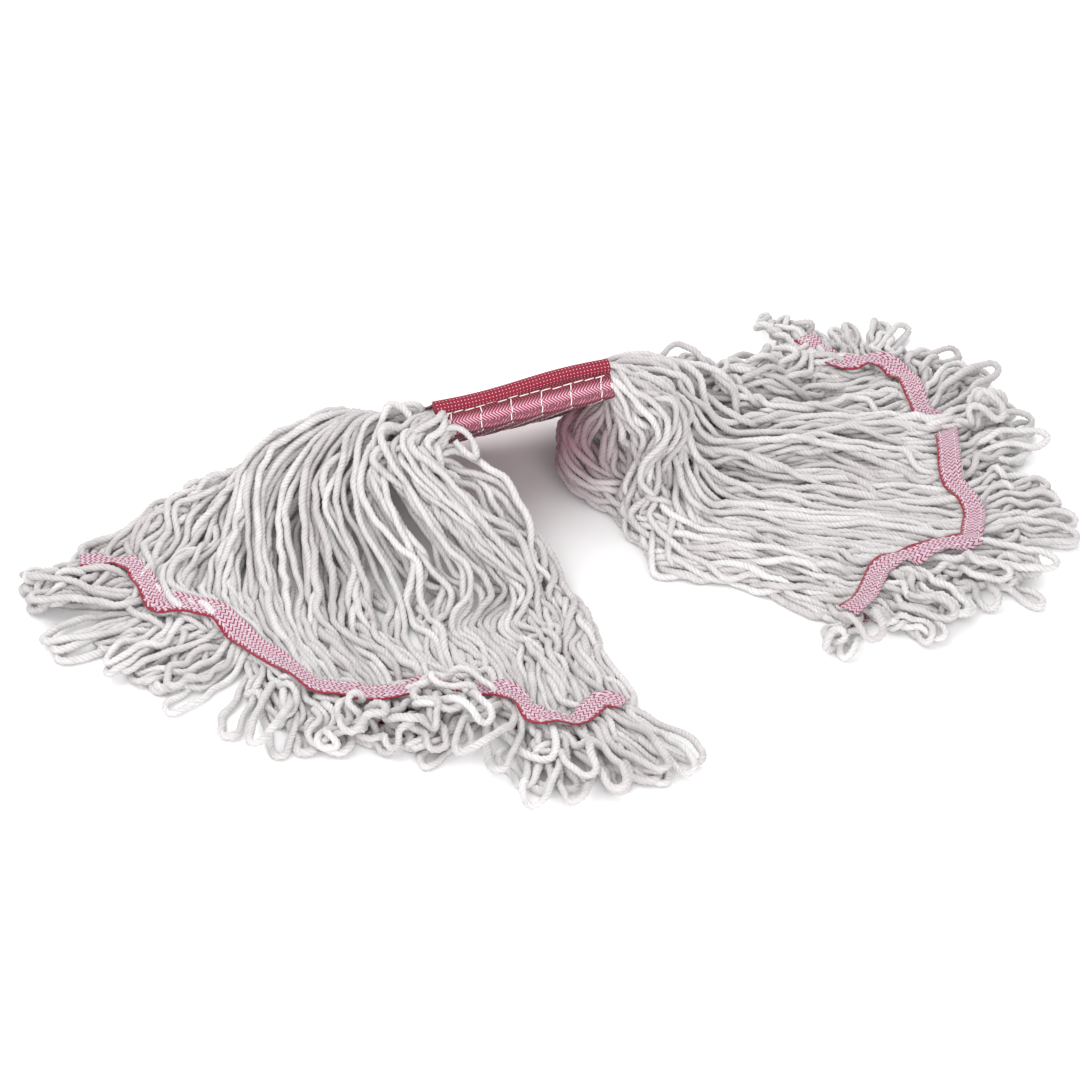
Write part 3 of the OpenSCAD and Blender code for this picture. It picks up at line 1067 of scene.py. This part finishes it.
def tape_weave():
    """White and pink weave in chevrons of red, with a dark red scallop along its outer edge."""
    n = Nodes("pink_woven_tape", 0.85, 0.3)
    cloth = n.attribute("cloth")
    across, along, edge = n.split(cloth.outputs["Vector"])
    wale = n.math("PINGPONG", n.math("ADD", across, 0.0020), 0.0020)
    slant = n.math("ADD", along, n.math("MULTIPLY", wale, 1.3))
    rib = n.range(n.math("PINGPONG", slant, 0.0018), 0.0010, 0.0013)
    patch = n.noise(cloth.outputs["Vector"], 260, 3)
    uneven = n.noise(cloth.outputs["Vector"], 1400, 2)
    red = n.math("MULTIPLY", rib, n.range(patch, 0.24, 0.46))
    base = n.mix(n.range(uneven, 0.3, 0.7), (0.40, 0.24, 0.31, 1), (0.64, 0.53, 0.60, 1))
    colour = n.mix(red, base, (0.24, 0.002, 0.040, 1))
    scallop = n.math("MULTIPLY", n.math("PINGPONG", along, 0.0026), 0.60)
    rim = n.range(n.math("SUBTRACT", edge, scallop), 0.0, 0.0001)
    colour = n.mix(rim, (0.24, 0.002, 0.020, 1), colour)
    height = n.math("ADD", rib, n.math("MULTIPLY", uneven, 0.6))
    return n.finish(colour, height, 0.0005)


def lane(off):
    """Which of a tape's lanes of heights lies that far off its middle."""
    return int(round((off / TAPE_WIDTH + 0.5) * (TAPE_LANES - 1)))


def ribbon(name, line, sideways, level, wave, material):
    """A tape along a line in the plan, lying at the heights that level gives, with buckled edges."""
    count = len(line)
    length = length_of(line[:, :2])
    maker = bmesh.new()
    bmesh.ops.create_grid(maker, x_segments=count - 1, y_segments=TAPE_CELLS, size=0.5)
    layer = maker.verts.layers.float_vector.new("cloth")
    for vert in maker.verts:
        k = int(round((vert.co.x + 0.5) * (count - 1)))
        off = vert.co.y * TAPE_WIDTH
        edge = abs(vert.co.y) * 2
        buckle = wave[k] * edge * edge * (1 if vert.co.y > 0 else -0.6)
        spot = line[k, :2] + sideways[k] * off
        from_outer = TAPE_WIDTH / 2 + off
        vert[layer] = (off, k / (count - 1) * length, from_outer - DARK_EDGE)
        vert.co = (spot[0], spot[1], level[k, lane(off)] + buckle)
    maker.normal_update()
    if sum(face.normal.z for face in maker.faces) < 0:
        bmesh.ops.reverse_faces(maker, faces=maker.faces)
    return finished(maker, name, material), length


tape_material = tape_weave()
for fan_name, fan in FANS.items():
    settled, tape_line = settled_fans[fan_name]
    course = tape_line[::6]
    smooth = curve_through(course, np.linspace(0, len(course) - 1, 900))
    line = evenly(smooth, TAPE_POINTS)
    ahead = np.gradient(line[:, :2], axis=0)
    ahead /= np.linalg.norm(ahead, axis=1)[:, None]
    sideways = np.column_stack([-ahead[:, 1], ahead[:, 0]])
    low, high = (int(share * len(settled)) for share in fan["over_tape"])
    under = [k for k in range(len(settled)) if not low <= k <= high]
    below = settled[under].reshape(-1, 3)
    top, base = np.empty((2, TAPE_POINTS, TAPE_LANES))
    for k in range(TAPE_POINTS):
        for c in range(TAPE_LANES):
            spot = line[k, :2] + sideways[k] * (c / (TAPE_LANES - 1) - 0.5) * TAPE_WIDTH
            near = np.linalg.norm(below[:, :2] - spot, axis=1) < TAPE_REACH
            heights = below[near, 2] if near.any() else np.array([BARE_FLOOR])
            top[k, c], base[k, c] = min(heights.max(), HIGHEST_YARN), heights.min()
    for _ in range(10):
        top[1:-1] = (top[:-2] + top[2:] + 2 * top[1:-1]) / 4
        base[1:-1] = (base[:-2] + base[2:] + 2 * base[1:-1]) / 4
        top[:, 1:-1] = (top[:, :-2] + top[:, 2:] + 2 * top[:, 1:-1]) / 4
    random = np.random.default_rng(21)
    wave = wander(random, TAPE_POINTS, 40, BUCKLE)[:, 0]
    above = top + YARN_RADIUS * 1.05
    beneath = np.maximum(base - YARN_RADIUS - 0.0004, LOWEST_TAPE)
    for where, level, buckles in (("upper", above, wave), ("lower", beneath, wave * 0)):
        name = f"{fan_name}_tape_{where}"
        tape, length = ribbon(name, line, sideways, level, buckles, tape_material)
        wall = tape.modifiers.new("cloth", "SOLIDIFY")
        wall.thickness = TAPE_THICKNESS
        wall.offset = 1
        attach(tape, f"{fan_name}_fan")
        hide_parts(f"{fan_name}_tail_tape_{where}")
        if where == "upper":
            stitches = []
            for row in (-0.0048, 0.0048):
                for k in range(6, TAPE_POINTS - 6, 4):
                    ends = []
                    for step in (k, k + 1.7):
                        i = int(step)
                        spot = line[i, :2] + (line[i + 1, :2] - line[i, :2]) * (step - i)
                        spot = spot + sideways[i] * row
                        ends.append([*spot, level[i, lane(row)] + TAPE_THICKNESS + 0.0001])
                    stitches.append([ends[0], ends[1], [0, 0, 1]])
            sewing = sewn(f"{fan_name}_tape_stitches", stitches, thread_material, TAPE_THREAD)
            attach(sewing, f"{fan_name}_fan")
            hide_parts(f"{fan_name}_tail_stitching")


# Floor and light: a pale floor, and soft light from large lamps above, in front and behind. They
# are staging for the picture, and no part of the mop.
floor_nodes = Nodes("pale_floor", 0.6, 0.0)
floor_nodes.shader.inputs["Base Color"].default_value = (0.94, 0.94, 0.94, 1)
bpy.ops.mesh.primitive_plane_add(size=12, location=(0, 0, -0.0005))
floor = bpy.context.object
floor.name = "floor"
floor.data.materials.append(floor_nodes.material)


def lamp(name, place, size, power):
    """A square lamp turned to the mop."""
    light = bpy.data.lights.new(name, "AREA")
    light.shape = "SQUARE"
    light.size = size
    light.energy = power
    lamp_object = bpy.data.objects.new(name, light)
    lamp_object.location = place
    lamp_object.rotation_euler = Vector((0, 0, -1)).rotation_difference(
        Vector(CAMERA_TARGET) - Vector(place)
    ).to_euler()
    scene.collection.objects.link(lamp_object)


lamp("key_light", (-1.0, -0.2, 1.9), 1.8, 22)
lamp("front_light", (0.3, -2.2, 0.9), 1.8, 38)
lamp("back_light", (0.2, 1.6, 1.2), 1.4, 12)
world = bpy.data.worlds.new("studio")
world.use_nodes = True
world.node_tree.nodes["Background"].inputs["Color"].default_value = (1, 1, 1, 1)
world.node_tree.nodes["Background"].inputs["Strength"].default_value = 0.84
scene.world = world
scene.view_settings.view_transform = "Standard"
